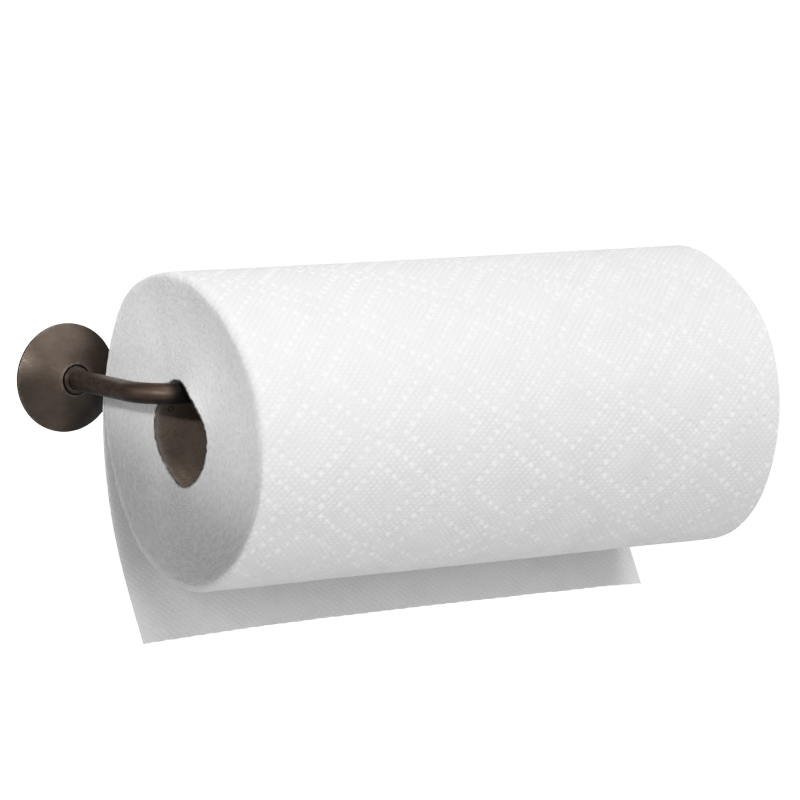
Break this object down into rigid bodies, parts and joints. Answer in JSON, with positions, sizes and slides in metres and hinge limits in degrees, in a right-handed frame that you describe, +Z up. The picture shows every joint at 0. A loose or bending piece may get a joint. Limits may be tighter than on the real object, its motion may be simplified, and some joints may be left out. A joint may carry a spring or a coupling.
{
  "type": "paper towel holder",
  "caption": "Wall-mounted paper towel holder: a rod arm bent out of a round domed base, carrying a wound paper roll on a cardboard core with one loose sheet hanging.",
  "frame": {"origin": "centre of the base plate's flat face, where it meets the wall", "axes": "+X along the arm towards its knob, -Y out of the wall into the room, +Z up"},
  "size_m": [0.3581, 0.1711, 0.1687],
  "materials": {
    "bronze": "satin",
    "zinc_steel": "satin",
    "plug_plastic": "matte",
    "core_card": "matte",
    "white_paper": "matte"
  },
  "bodies": {
    "holder": {"base_plate": "zinc_steel", "arm_socket": "zinc_steel", "arm_screw": "zinc_steel", "arm": "bronze", "end_knob": "bronze", "dome_cover": "bronze", "cover_ring": "bronze", "wall_screws": "zinc_steel", "wall_plugs": "plug_plastic"},
    "hanging_sheet": {"loose_sheet": "white_paper"},
    "roll": {"roll_core": "core_card", "paper_roll": "white_paper"}
  },
  "joints": [
    {"name": "roll_pull_off", "type": "slide", "parent": "holder", "child": "hanging_sheet", "axis": [0.995, 0, 0.0995], "range_m": [0, 0.325]},
    {"name": "roll_spin", "type": "hinge", "parent": "hanging_sheet", "child": "roll", "pos_m": [0.1544, -0.07935, -0.01815], "axis": [1, 0, 0], "continuous": true}
  ]
}
